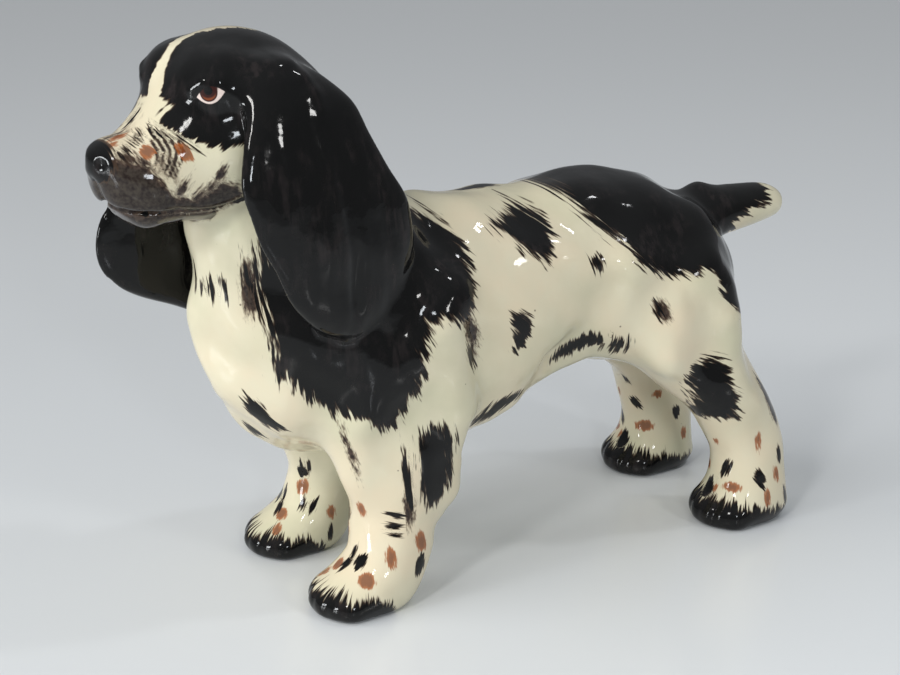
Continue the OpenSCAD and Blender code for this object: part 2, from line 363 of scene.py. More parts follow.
def roll(points, radii):
    """A rolled coil of clay through points, its thickness changing from end to end."""
    points = [np.array(p, float) for p in points]

    def field(x, y, z):
        best = None
        for (a, b), (r0, r1) in zip(zip(points, points[1:]), zip(radii, radii[1:])):
            run = b - a
            t = ((x - a[0]) * run[0] + (y - a[1]) * run[1] + (z - a[2]) * run[2]) / (run @ run)
            t = np.clip(t, 0, 1)
            gap = np.sqrt((x - a[0] - t * run[0]) ** 2 + (y - a[1] - t * run[1]) ** 2
                          + (z - a[2] - t * run[2]) ** 2) - (r0 + (r1 - r0) * t)
            best = gap if best is None else softer_min(best, gap, 0.6)
        return best
    return field


def mirrored(field):
    """The same shape on the other side of the middle plane."""
    return lambda x, y, z: field(-x, y, z)


def to_head(x, y, z):
    """World places in the head's own frame, where the head looks towards -Y."""
    dx, dy = x - HEAD_PIVOT[0], y - HEAD_PIVOT[1]
    return (math.cos(HEAD_TURN) * dx + math.sin(HEAD_TURN) * dy,
            math.cos(HEAD_TURN) * dy - math.sin(HEAD_TURN) * dx, z)


def on_head(field):
    return lambda x, y, z: field(*to_head(x, y, z))


def from_head(place):
    x, y, z = place
    return (HEAD_PIVOT[0] + math.cos(HEAD_TURN) * x - math.sin(HEAD_TURN) * y,
            HEAD_PIVOT[1] + math.sin(HEAD_TURN) * x + math.cos(HEAD_TURN) * y, z)


class Clay:
    """The clay grid. Each shape is worked only in its own window of the grid."""

    def __init__(self, low, high):
        self.low = np.array(low, float)
        counts = np.ceil((np.array(high) - self.low) / GRAIN).astype(int) + 1
        self.value = np.full(counts, BAND * 2, np.float32)
        self.axes = [self.low[i] + GRAIN * np.arange(counts[i]) for i in range(3)]

    def window(self, low, high):
        cut = []
        for i in range(3):
            first, last = np.searchsorted(self.axes[i], (low[i], high[i]))
            cut.append(slice(first, last))
        sparse = np.meshgrid(*(self.axes[i][cut[i]].astype(np.float32) for i in range(3)),
                             indexing="ij", sparse=True)
        return tuple(cut), sparse

    def add(self, field, low, high, blend):
        cut, places = self.window(low, high)
        self.value[cut] = softer_min(self.value[cut], field(*places), blend)

    def carve(self, field, low, high, blend):
        cut, places = self.window(low, high)
        self.value[cut] = softer_max(self.value[cut], -field(*places), blend)

    def soften(self, passes):
        """Rub the clay smooth with a wet sponge."""
        for _ in range(passes):
            for axis in range(3):
                v = np.moveaxis(self.value, axis, 0)
                v[1:-1] = 0.25 * (v[:-2] + 2.0 * v[1:-1] + v[2:])

    def sample(self, points, slopes=False):
        """The field, and its gradient if asked, at any points."""
        place = (points - self.low) / GRAIN
        base = np.clip(np.floor(place).astype(int), 0, np.array(self.value.shape) - 2)
        t = place - base
        corner = {}
        for i in (0, 1):
            for j in (0, 1):
                for k in (0, 1):
                    corner[i, j, k] = self.value[base[:, 0] + i, base[:, 1] + j, base[:, 2] + k].astype(float)
        weight = [(1 - t[:, a], t[:, a]) for a in range(3)]
        value = sum(corner[c] * weight[0][c[0]] * weight[1][c[1]] * weight[2][c[2]] for c in corner)
        if not slopes:
            return value
        step = GRAIN
        gradient = np.stack([
            (self.sample(points + step * unit) - self.sample(points - step * unit)) / (2 * step)
            for unit in np.eye(3)], axis=1)
        return value, gradient


# ---------------------------------------------------------------- the dog's forms

TOES = ((-4.7, 7.2), (-1.7, 9.0), (1.7, 9.0), (4.7, 7.2))      # offset across the foot, and reach forward
GROOVES = (-3.3, 0.0, 3.3)                                      # offsets of the grooves between the toes


def thickened(rows):
    """An ear's table with its half widths in millimetres."""
    return [row[:4] + (row[4] * EAR_HALF,) + row[5:] for row in rows]


def shifted(rows, x):
    return [(row[0] + x,) + row[1:] for row in rows]


def both_sides(clay, field, low, high, blend, carve=False):
    """Work the same shape on the left (+X) and on the right. Low and high are the left one's window."""
    work = clay.carve if carve else clay.add
    work(field, low, high, blend)
    work(mirrored(field), [-high[0], low[1], low[2]], [-low[0], high[1], high[2]], blend)


def on_face(clay, field, low, high, blend, carve=False):
    """The same on the face, in the head's own frame. Low and high are the left one's corners there."""
    work = clay.carve if carve else clay.add
    for side in (1, -1):
        shape = on_head(field if side > 0 else mirrored(field))
        corners = np.array([from_head((side * x, y, 0))
                            for x in (low[0], high[0]) for y in (low[1], high[1])])
        flat_low, flat_high = corners.min(axis=0), corners.max(axis=0)
        work(shape, [flat_low[0] - 4, flat_low[1] - 4, low[2] - 4],
             [flat_high[0] + 4, flat_high[1] + 4, high[2] + 4], blend)


def model_foot(clay, foot):
    """Four toes, with a groove between each and the next."""
    x_mid, y_mid = foot
    low, high = [x_mid - 11, y_mid - 13, -2], [x_mid + 11, y_mid + 4, 10]
    for offset, reach in TOES:
        front = y_mid - reach
        toe = roll([(x_mid + 0.85 * offset, front + 5.4, 3.4),
                    (x_mid + offset, front + 2.3, 1.8)], (1.4, 1.8))
        both_sides(clay, toe, low, high, 3.6)
    for offset in GROOVES:
        reach = 9.3 - 0.14 * abs(offset) ** 1.6
        groove = roll([(x_mid + 0.95 * offset, y_mid - reach + 0.8, 4.4),
                       (x_mid + offset, y_mid - reach - 0.9, 2.2),
                       (x_mid + offset, y_mid - reach - 1.0, 0.0)], (0.1, 0.4, 0.5))
        both_sides(clay, groove, low, high, 0.8, carve=True)


def model_body(clay):
    """The torso and legs, with the masses of muscle that swell from them."""
    clay.add(fanned_loft(TORSO), [-24, -54, 15], [24, 56, 92], 1.0)
    fore, hind = shifted(FORE_LEG, FORE_FOOT[0]), shifted(HIND_LEG, HIND_FOOT[0])
    both_sides(clay, loft(fore), [0, -42, -4], [26, 0, 56], 5.0)
    both_sides(clay, loft(hind), [0, 14, -4], [26, 64, 57], 5.0)
    elbow = roll([(15.2, -13, 40), (15.6, -11.5, 30), (14.2, -11.6, 22), (13.4, -13.6, 14)],
                 (3.4, 3.2, 2.6, 1.6))
    both_sides(clay, elbow, [6, -22, 8], [24, 0, 48], 3.0)
    stifle = ball((15.4, 28.6, 37.0), (3.0, 4.4, 5.2))
    both_sides(clay, stifle, [6, 16, 22], [24, 40, 48], 5.0)
    haunch = roll([(14.6, 36, 47), (15.2, 38.5, 38), (14.6, 41, 29)], (2.8, 3.4, 3.0))
    both_sides(clay, haunch, [6, 26, 20], [24, 50, 54], 4.0)
    shoulder = roll([(14.6, -13, 49), (15.6, -20, 41), (15.4, -25, 34)], (2.6, 3.4, 3.0))
    both_sides(clay, shoulder, [6, -34, 24], [24, -4, 58], 4.0)
    flank = roll([(17.4, 17.5, 46), (16.4, 14, 39), (13.4, 9, 33.5)], (1.6, 1.5, 1.2))
    both_sides(clay, flank, [8, 2, 26], [24, 26, 54], 4.0, carve=True)
    keel = roll([(0, -45, 46), (0, -42.6, 36), (0, -37, 29.5), (0, -28, 24.5)], (2.0, 2.0, 2.2, 2.0))
    clay.add(keel, [-9, -54, 16], [9, -20, 52], 4.0)
    for foot in (FORE_FOOT, HIND_FOOT):
        model_foot(clay, foot)


def model_face(clay):
    """The head and its features, in the head's own frame, on both sides where they come in pairs."""
    clay.add(on_head(loft(HEAD)), [-20, -68, 54], [22, -16, 96], 2.6)
    flews = roll([(2.4, -25.4, 69.0), (4.6, -22.6, 69.2), (5.6, -16, 68.6), (7.4, -9, 69.4)],
                 (2.7, 3.1, 3.3, 3.2))
    on_face(clay, flews, (0, -30, 62), (12, -4, 74), 1.6)
    cheek = ball((8.2, -9.5, 74), (3.6, 5.6, 4.8))
    on_face(clay, cheek, (3, -17, 68), (13, -3, 80), 4.0)
    brow = roll([(4.6, -14.6, 84.4), (7.0, -12.2, 84.7), (8.6, -9.0, 83.4)], (2.4, 2.5, 2.0))
    on_face(clay, brow, (1, -20, 80), (13, -6, 89), 4.0)
    chin = roll([(-2, -22.8, 66.6), (2, -22.8, 66.6)], (2.8, 2.8))
    on_face(clay, chin, (-6, -28, 62), (6, -18, 71), 1.4)
    eyeball = ball((7.0, -13.7, 82.6), 2.9)
    on_face(clay, eyeball, (3, -19, 78), (12, -9, 87), 3.0)
    upper_lid = roll([(6.6, -17.4, 83.0), (8.2, -16.2, 84.2), (9.6, -14.4, 84.2)], (0.3, 0.5, 0.3))
    on_face(clay, upper_lid, (4, -20, 80), (13, -10, 87), 1.2)
    nose = ball((0, -26.7, 73.5), (3.8, 3.3, 2.4))
    on_face(clay, nose, (-5, -31, 70), (5, -22, 78), 1.6)
    nostril = ball((2.4, -30.0, 73.4), (0.7, 0.7, 0.6))
    on_face(clay, nostril, (0, -32, 71), (5, -27, 76), 0.9, carve=True)
    lip_line = roll([(0, -28.0, 67.6), (3.0, -26.6, 66.5), (5.6, -23.8, 66.4), (6.9, -20.5, 66.0),
                     (7.3, -16.8, 65.6), (8.2, -13.2, 65.9), (9.6, -11.2, 67.4)],
                    (0.4, 0.5, 0.5, 0.5, 0.5, 0.45, 0.3))
    on_face(clay, lip_line, (0, -30, 63), (12, -9, 70), 0.6, carve=True)
    philtrum = roll([(0, -29.6, 71.0), (0, -29.4, 69.4), (0, -28.6, 67.8)], (0.3, 0.4, 0.4))
    clay.carve(on_head(philtrum), [-2, -68, 62], [12, -56, 74], 0.8)


def combed(rows, phase):
    """An ear flap with shallow locks of hair running down it, fading out towards its edges."""
    flap = loft(rows)
    table = smoothed(rows)

    def field(x, y, z):
        middle, up, down = (np.interp(z, table[:, 2], table[:, j]) for j in (1, 5, 6))
        share = (y - middle) / np.where(y > middle, up, down)
        fade = np.clip(1 - share ** 2, 0, 1) * np.clip((82 - z) / 10, 0, 1) * np.clip((z - 45) / 8, 0, 1)
        sway = 1.1 * np.sin(z / 7.5 + phase) + 0.05 * (z - 60)
        locks = np.sin((y + sway) * 0.95) + 0.5 * np.sin((y - sway) * 1.9 + 0.12 * z + phase)
        return flap(x, y, z) + 0.24 * fade * locks
    return field


def ear_fields():
    """The left and the right ear flap, as fields in the world."""
    left = on_head(combed(thickened(LEFT_EAR), 0.4))
    right = on_head(mirrored(combed(thickened(RIGHT_EAR), 1.7)))
    return left, right


EAR_WINDOWS = (([0, -54, 40], [26, -12, 92]), ([-26, -64, 38], [2, -16, 92]))


def model_ears(clay):
    """Both ears, blended broadly into the skull at their roots, and the fold of skin in front of each."""
    for field, (low, high) in zip(ear_fields(), EAR_WINDOWS):
        height = clay.window(low, high)[1][2]
        clay.add(field, low, high, 1.4 + 4.0 * np.clip((height - 76) / 8, 0, 1))
    fold = roll([(8.4, -4.6, 85.4), (11.3, -4.4, 84.9), (12.7, -3.4, 83.6), (13.9, -2.4, 81.6),
                 (14.7, -1.8, 79.0), (15.3, -1.6, 75.0)], (0.4, 1.0, 1.2, 1.2, 1.1, 0.4))
    on_face(clay, fold, (6, -8, 72), (18, 2, 88), 1.6)


def relief(x, y, z):
    """The soft unevenness of hand-finished clay, in millimetres."""
    draw = np.random.default_rng(11)
    total = 0.0
    for _ in range(RELIEF_WAVES):
        direction = draw.normal(size=3)
        direction /= np.linalg.norm(direction)
        length = draw.uniform(5.5, 14.0)
        phase = draw.uniform(0, 2 * math.pi)
        wave = np.sin((x * direction[0] + y * direction[1] + z * direction[2]) * 2 * math.pi / length + phase)
        total = total + wave * (length / 10.0) ** 1.5
    return total / RELIEF_WAVES


def model_dog():
    """The whole dog as clay, and the same clay before its tail and ears went on."""
    clay = Clay([-27, -70, -3], [27, 70, 95])
    model_body(clay)
    model_face(clay)
    bare = clay.value.copy()
    clay.add(loft(TAIL), [-10, 34, 42], [10, 68, 62], 2.4)
    model_ears(clay)
    cut, places = clay.window([-27, -56, 9], [27, 66, 66])
    fade = np.clip((places[2] - 9) / 6, 0, 1) * np.clip((66 - places[2]) / 8, 0, 1)
    clay.value[cut] += RELIEF_HEIGHT * relief(*places) * fade * np.clip((52 - places[1]) / 6, 0, 1)
    clay.soften(1)
    below_ground = lambda x, y, z: z + 0 * x + 0 * y
    clay.carve(below_ground, [-30, -70, -4], [30, 70, 4], 0.8)
    return clay, bare


# ---------------------------------------------------------------- the skin, and the pieces it is cut into

def skin_of(clay):
    """The clay's surface: vertices, their outward normals, and triangles."""
    grid = openvdb.FloatGrid(background=BAND)
    grid.copyFromArray(np.clip(clay.value, -BAND, BAND))
    points, quads = grid.convertToQuads(0.0)
    points = clay.low + np.asarray(points, float) * GRAIN
    quads = np.asarray(quads, int)[:, ::-1]
    for _ in range(2):
        value, slope = clay.sample(points, slopes=True)
        points = points - slope * (value / np.maximum((slope ** 2).sum(axis=1), 0.2))[:, None]
    slope = clay.sample(points, slopes=True)[1]
    normals = slope / np.linalg.norm(slope, axis=1, keepdims=True)
    triangles = np.concatenate([quads[:, [0, 1, 2]], quads[:, [0, 2, 3]]])
    a, b, c = (points[triangles[:, i]] for i in range(3))
    facing = (np.cross(b - a, c - a) * normals[triangles[:, 0]]).sum()
    if facing < 0:
        triangles = triangles[:, ::-1]
    return points, normals, triangles


def split_along(skin, level, inside):
    """Split the triangles that a level's zero line crosses, where all their corners are `inside`."""
    points, normals, triangles = skin
    level = np.where(np.abs(level) < 1e-4, 1e-4, level)
    sign = level[triangles] > 0
    mixed = (sign.any(axis=1) & ~sign.all(axis=1)) & inside[triangles].all(axis=1)
    whole, crossed, sign = triangles[~mixed], triangles[mixed], sign[mixed]
    lone_value = sign.sum(axis=1) == 1
    lone = np.argmax(sign == lone_value[:, None], axis=1)
    row = np.arange(len(crossed))
    a, b, c = (crossed[row, (lone + i) % 3] for i in range(3))
    edges = np.concatenate([np.stack([a, b], 1), np.stack([a, c], 1)])
    ordered = np.sort(edges, axis=1)
    unique, index = np.unique(ordered, axis=0, return_inverse=True)
    index = index.reshape(-1)
    share = level[unique[:, 0]] / (level[unique[:, 0]] - level[unique[:, 1]])
    share = share[:, None]
    new_points = points[unique[:, 0]] * (1 - share) + points[unique[:, 1]] * share
    new_normals = normals[unique[:, 0]] * (1 - share) + normals[unique[:, 1]] * share
    new_normals /= np.linalg.norm(new_normals, axis=1, keepdims=True)
    ab, ac = len(points) + index[:len(a)], len(points) + index[len(a):]
    pieces = [np.stack([a, ab, ac], 1), np.stack([ab, b, c], 1), np.stack([ab, c, ac], 1)]
    return (np.concatenate([points, new_points]), np.concatenate([normals, new_normals]),
            np.concatenate([whole] + pieces))


def neck_level(points):
    """Above zero on the head's side of the neck joint."""
    dy, dz = points[:, 1] - NECK_MIDDLE[0], points[:, 2] - NECK_MIDDLE[1]
    return dz * math.sin(NECK_TILT) - dy * math.cos(NECK_TILT)


def sampled(clay, value, points):
    """Another state of the same clay, at any points."""
    kept = clay.value
    clay.value = value
    result = clay.sample(points)
    clay.value = kept
    return result


def levels(clay, bare, points):
    """For each cut, how far each point is past it, and which points the cut may reach."""
    x, y, z = points.T
    rest = sampled(clay, bare, points)
    left, right = ear_fields()
    fore, hind = y < 5, y > 20
    return {
        "neck": (neck_level(points), (y < -5) & (z > 50)),
        "tail": (rest - loft(TAIL)(x, y, z), (y > 38) & (z > 43) & (np.abs(x) < 9)),
        "left_ear": (rest - left(x, y, z), (x > 4) & (y < -8) & (z > 40)),
        "right_ear": (rest - right(x, y, z), (x < -2) & (y < -12) & (z > 38)),
        "fore": (FORE_JOINT - z, fore & (np.abs(x) > 1)),
        "hind": (HIND_JOINT - z, hind & (np.abs(x) > 1)),
    }


# Wall of each piece as it is shown: its outside set inward by this much.
SHELL = {"torso": 3.0, "head": 2.4, "left_ear": 1.0, "right_ear": 1.0, "tail": 1.4}
LEG_SHELL = 2.6
PIECES = ("torso", "head", "left_ear", "right_ear", "front_left_leg", "front_right_leg",
          "hind_left_leg", "hind_right_leg", "tail")


def cut_into_pieces(clay, bare, skin):
    """Every triangle's piece, after the skin is split along every joint."""
    for name in ("neck", "tail", "left_ear", "right_ear", "fore", "hind"):
        level, reach = levels(clay, bare, skin[0])[name]
        skin = split_along(skin, level, reach)
    points, normals, triangles = skin
    middles = points[triangles].mean(axis=1)
    level = levels(clay, bare, middles)
    past = {name: (value > 0) & reach for name, (value, reach) in level.items()}
    owner = np.full(len(triangles), "torso", dtype=object)
    owner[past["neck"]] = "head"
    owner[past["tail"]] = "tail"
    owner[past["left_ear"]] = "left_ear"
    owner[past["right_ear"]] = "right_ear"
    left = middles[:, 0] > 0
    owner[past["fore"] & left] = "front_left_leg"
    owner[past["fore"] & ~left] = "front_right_leg"
    owner[past["hind"] & left] = "hind_left_leg"
    owner[past["hind"] & ~left] = "hind_right_leg"
    return points, normals, triangles, owner


def room_inside(clay, points, normals, wanted):
    """How deep each point may be set inward: as far as wanted, but well short of the wall across."""
    depth = np.full(len(points), 0.25)
    open_so_far = np.ones(len(points), bool)
    for step in np.arange(0.5, wanted + 0.01, 0.25):
        value = clay.sample(points - normals * step)
        open_so_far &= value < -0.8 * step
        depth[open_so_far] = step * 0.8
    return depth


def cast_shell(name, clay, points, normals, triangles):
    """A closed shell: the glazed outside, the same skin set inward, and a rim round each opening.
    Also gives which points of the skin it took."""
    used, local = np.unique(triangles, return_inverse=True)
    outer = local.reshape(-1, 3)
    count = len(used)
    outside, normal = points[used], normals[used]
    depth = room_inside(clay, outside, normal, SHELL.get(name, LEG_SHELL))
    inside = outside - normal * depth[:, None]
    edges = np.concatenate([outer[:, [0, 1]], outer[:, [1, 2]], outer[:, [2, 0]]])
    code = edges[:, 0] * count + edges[:, 1]
    opposite = edges[:, 1] * count + edges[:, 0]
    rim = edges[~np.isin(code, opposite)]
    walls = np.concatenate([
        np.stack([rim[:, 1], rim[:, 0], rim[:, 0] + count], 1),
        np.stack([rim[:, 1], rim[:, 0] + count, rim[:, 1] + count], 1)])
    faces = np.concatenate([outer, outer[:, ::-1] + count, walls])
    everywhere = np.concatenate([outside, inside])

    mesh = bpy.data.meshes.new(name + "_glazed")
    mesh.vertices.add(len(everywhere))
    mesh.vertices.foreach_set("co", (everywhere * MM).ravel())
    mesh.loops.add(faces.size)
    mesh.loops.foreach_set("vertex_index", faces.ravel())
    mesh.polygons.add(len(faces))
    mesh.polygons.foreach_set("loop_start", np.arange(0, faces.size, 3))
    mesh.polygons.foreach_set("use_smooth", np.ones(len(faces), bool))
    bare_clay = np.arange(len(faces)) >= len(outer)
    mesh.polygons.foreach_set("material_index", bare_clay.astype(np.int32))
    mesh.update()
    mesh.validate()

    corners = everywhere[faces]
    flat = np.cross(corners[:, 1] - corners[:, 0], corners[:, 2] - corners[:, 0])
    flat /= np.maximum(np.linalg.norm(flat, axis=1, keepdims=True), 1e-9)
    loop_normals = np.concatenate([normal, -normal])[faces]
    loop_normals[len(outer) * 2:] = flat[len(outer) * 2:, None, :]
    mesh.normals_split_custom_set(loop_normals.reshape(-1, 3))
    piece = bpy.data.objects.new(name + "_glazed", mesh)
    bpy.context.collection.objects.link(piece)
    return piece, used


# ---------------------------------------------------------------- brushwork

def outline(points, steps=5):
    """A smooth closed curve through given points."""
    table = np.array(points, float)
    count = len(table)
    out = []
    for i in range(count):
        out.extend(smooth_run(*(table[(i + j) % count] for j in (-1, 0, 1, 2)), steps))
    return np.array(out)


def depth_inside(curve, u, v):
    """How far each point lies inside a closed curve, below zero outside it."""
    best = np.full(u.shape, 1e9)
    inside = np.zeros(u.shape, bool)
    for (u0, v0), (u1, v1) in zip(curve, np.roll(curve, -1, axis=0)):
        du, dv = u1 - u0, v1 - v0
        t = np.clip(((u - u0) * du + (v - v0) * dv) / (du * du + dv * dv + 1e-9), 0, 1)
        best = np.minimum(best, np.hypot(u - u0 - t * du, v - v0 - t * dv))
        spans = (v0 > v) != (v1 > v)
        inside ^= spans & (u < u0 + (v - v0) * du / (dv if abs(dv) > 1e-9 else 1e-9))
    return np.where(inside, best, -best)


def mirror(place):
    return (-place[0],) + tuple(place[1:])


class Skin:
    """The skin's points and normals, in the world and in the head's own frame."""

    def __init__(self, points, normals):
        self.points, self.normals = points, normals
        self.face = np.stack(to_head(*points.T), axis=1)
        self.face_normals = np.stack(to_head(*(normals + HEAD_PIVOT).T), axis=1)
        self.on_head = (neck_level(points) > -1.0) & (points[:, 1] < -5)

    def frame(self, on_face):
        return (self.face, self.face_normals) if on_face else (self.points, self.normals)


class Brush:
    """One colour of paint. Each point keeps its place across and along the strokes, and its depth in
    the paint. Each patch or dab shifts its strokes, so that no two show the same hairs."""

    def __init__(self, skin):
        self.skin = skin
        self.value = np.tile(np.array([0.0, 0.0, NO_PAINT]), (len(skin.points), 1))
        self.count = 0

    def lay(self, where, across, along, depth):
        """Add paint where it is deeper than what is there."""
        self.count += 1
        better = where & (depth > self.value[:, 2])
        laid = np.stack(np.broadcast_arrays(across + STROKE_SHIFT * self.count, along, depth), axis=1)
        self.value[better] = laid[better]

    def patch(self, curve, focus, side=0, firm=1.0, on_face=False):
        """A patch seen from the side, as (y, z) points. Its strokes run away from the focus."""
        places = self.skin.frame(on_face)[0]
        reach = np.ones(len(places), bool)
        if on_face:
            reach &= self.skin.on_head
        if side:
            reach &= places[:, 0] * side > 0
        y, z = places[:, 1], places[:, 2]
        smooth = outline(curve)
        low, high = smooth.min(axis=0) - 4, smooth.max(axis=0) + 4
        reach &= (y > low[0]) & (y < high[0]) & (z > low[1]) & (z < high[1])
        depth = np.full(len(places), NO_PAINT)
        depth[reach] = depth_inside(smooth, y[reach], z[reach]) * firm
        away = np.hypot(y - focus[0], z - focus[1])
        middle = np.hypot(*(smooth.mean(axis=0) - focus))
        angle = np.arctan2(z - focus[1], y - focus[0])
        self.lay(reach, angle * middle, away, depth)

    def dab(self, place, direction, along, across, firm=2.0, on_face=False):
        """A small mark of a few strokes side by side."""
        places, normals = self.skin.frame(on_face)
        gap = ((places - place) ** 2).sum(axis=1)
        nearest = np.argmin(gap)
        centre, up = places[nearest], normals[nearest]
        stroke = np.array(direction, float)
        stroke -= up * (stroke @ up)
        stroke /= np.linalg.norm(stroke)
        beside = np.cross(stroke, up)
        rest = places - centre
        a, b, c = rest @ stroke, rest @ beside, rest @ up
        share = np.sqrt((a / along) ** 2 + (b / across) ** 2 + (c / (along + across)) ** 2)
        self.lay(share < 4, b, a, (1 - share) * min(across, along) * firm)

    def dabs_both_sides(self, dabs, firm, on_face=False):
        for place, direction, along, across in dabs:
            self.dab(place, direction, along, across, firm, on_face)
            self.dab(mirror(place), mirror(direction), along, across, firm, on_face)

    def face_line(self, path, half, firm=7.0):
        """One thin line along a path on the left of the face."""
        places = self.skin.face
        path = [np.array(p, float) for p in path]
        for a, b in zip(path, path[1:]):
            run = b - a
            t = np.clip(((places - a) @ run) / (run @ run), 0, 1)
            gap = np.linalg.norm(places - a - t[:, None] * run, axis=1)
            self.lay(gap < half + 3, t, gap, (half - gap) * firm)

    def face_line_both_sides(self, path, half):
        self.face_line(path, half)
        self.face_line([mirror(p) for p in path], half)


# Patches of black on the flanks, as (y, z) points seen from the side.
SHOULDER_LEFT = [(-24, 73), (-21.4, 68), (-18.4, 64.4), (-13.4, 61.4), (-9.4, 58.8), (-7.9, 54.8),
                 (-8.2, 49.4), (-10.4, 45.4), (-13.6, 46.6), (-15.6, 47.4), (-17.2, 44.4), (-18.2, 40),
                 (-20, 35.6), (-21.6, 31.6), (-24.2, 30), (-27.6, 31.4), (-32.3, 33.8), (-36.4, 36.6),
                 (-39.4, 39.6), (-40.2, 44), (-41.6, 51), (-41, 60), (-36, 69), (-30, 74)]
SHOULDER_RIGHT = [(-24, 73), (-20, 66.4), (-13, 61), (-6, 57.6), (-2.6, 52), (-4.4, 46.4), (-8.6, 43.4),
                  (-10, 38.6), (-14.4, 36), (-18.6, 33), (-24.6, 31.4), (-31.6, 34.4), (-37.6, 38.4),
                  (-40.2, 44), (-41.4, 51), (-41, 60), (-36, 69), (-30, 74)]
SADDLE = [(10, 76), (11, 62.4), (13.6, 60.2), (14.8, 57.6), (17.4, 54.9), (20.4, 52.8), (21.2, 50.6),
          (23.2, 48.8), (28.2, 46.8), (32.6, 46.6), (35.4, 47.2), (36.8, 44.4), (38.4, 41.8), (41.6, 39),
          (44.6, 38), (48, 38.6), (50.6, 42), (50.4, 49), (51.2, 50.6), (53.4, 51.6), (56.8, 52.6),
          (59.4, 54.4), (60, 60), (52, 76)]
HEART = [(-2.2, 57.6), (-0.6, 58.7), (1.4, 58.3), (3.0, 59.1), (5.6, 59.6), (7.9, 58.9), (8.6, 56.8),
         (8, 54.2), (6.6, 51.4), (4.4, 52.4), (1.8, 53.8), (-0.4, 55.6)]
CRESCENT = [(-2.2, 45.4), (0.1, 45), (1.8, 43.2), (1.6, 40.8), (0, 38.2), (-1.4, 38.8), (-0.9, 41),
            (-1.8, 43.4)]
BELLY_EDGE = [(8.6, 33.2), (9.4, 35.8), (12.2, 37.4), (14.6, 38), (17, 37.8), (17.4, 36.2), (14.2, 35.2),
              (11.4, 34.2)]
BELLY_EDGE_END = [(18, 36.2), (19.4, 36.6), (21, 36.2), (21.2, 34.8), (19.6, 35), (18.2, 35.2)]
BELLY_STRIP = [(-7.6, 25.6), (-6.6, 27.2), (-4.2, 29.2), (-1.5, 30.4), (2.6, 30.6), (2.2, 29.2), (-1, 27.8),
               (-4, 26.4)]
THIGH = [(31.6, 31.6), (35, 32.2), (38.2, 31.2), (39.9, 27.8), (41.2, 23.4), (41, 20.4), (38.4, 20.2),
         (36, 20.8), (33.6, 24.6), (31.8, 28.6)]
ELBOW = [(-19.4, 27), (-17.6, 29.6), (-14.6, 29.4), (-12.6, 26.4), (-12.9, 21), (-14.1, 17.4),
         (-16.4, 15.8), (-18.4, 17.2), (-19.2, 22)]
RIGHT_FLANK = [(1, 52), (4, 55.6), (9, 56.4), (12.6, 53.4), (12, 48.6), (8, 45.4), (3.4, 46.6)]
RIGHT_THIGH = [(29, 40), (33, 42), (38, 40), (40.4, 35), (38.6, 30.4), (34, 29.4), (30, 33)]
RIGHT_ELBOW = [(-18.8, 25), (-16.6, 28), (-13.6, 27), (-12.6, 22.6), (-14, 18.6), (-17, 17.4), (-19, 20.6)]
# How high the toes' black reaches, by angle round the foot from straight ahead: degrees, then millimetres.
FORE_TOES = ((0, 4.0), (40, 4.4), (75, 4.0), (100, 2.4), (125, -2.0), (180, -4.0))
HIND_TOES = ((0, 5.4), (40, 5.2), (80, 4.0), (120, 3.0), (150, 2.0), (180, 1.6))
# Black of the face, seen from the side in the head's own frame: (-forward, z).
MASK = [(-19.6, 81.6), (-20.4, 80.0), (-21.2, 78.6), (-20.4, 77.4), (-18.4, 76.2), (-15.6, 75.2),
        (-12.8, 75.6), (-10, 76.2), (-5, 74.6), (1, 73), (6, 73.6), (9.6, 76), (12.6, 80), (16, 90),
        (10, 100), (-16, 100), (-21, 92)]
LIPS = [(-32, 75), (-28.6, 74.8), (-26.4, 74.2), (-24.4, 73.4), (-23.2, 71.8), (-22.2, 70), (-20.6, 68.8),
        (-18.4, 68.6), (-16.4, 69.6), (-14.6, 70.6), (-12.6, 69.6), (-12, 66.4), (-16, 65.2), (-22, 65.2),
        (-27, 65), (-32, 66.4)]
CHIN = [(-32, 66.8), (-27, 66.4), (-22, 66.3), (-17, 65.8), (-14, 65.4), (-15, 61), (-24, 59), (-32, 61)]
# The white blaze: forward, middle to the left, and half width, from the muzzle over the skull.
BLAZE = [(30, 1.2, 6.5), (26, 2.0, 4.4), (24, 1.6, 2.6), (21.8, 0.8, 1.7), (20, -0.4, 1.7),
         (18.6, -0.8, 1.8), (16.6, -1.5, 1.0), (14, -2.0, 1.1), (12.4, -2.0, 1.1), (10, -0.9, 1.3),
         (7, 0.2, 1.1), (4, 0.8, 0.6), (1, 1, 0), (-3, 1, -1.2), (-9, 1, -4)]
MOUTH = [(0, -28.6, 67.4), (3.0, -27, 66.4), (5.6, -24.2, 66.2), (7.0, -20.6, 65.9), (7.4, -16.8, 65.6),
         (8.4, -13.2, 65.9), (9.6, -11.2, 67.4)]

DOWN = (0, 0.1, -1)
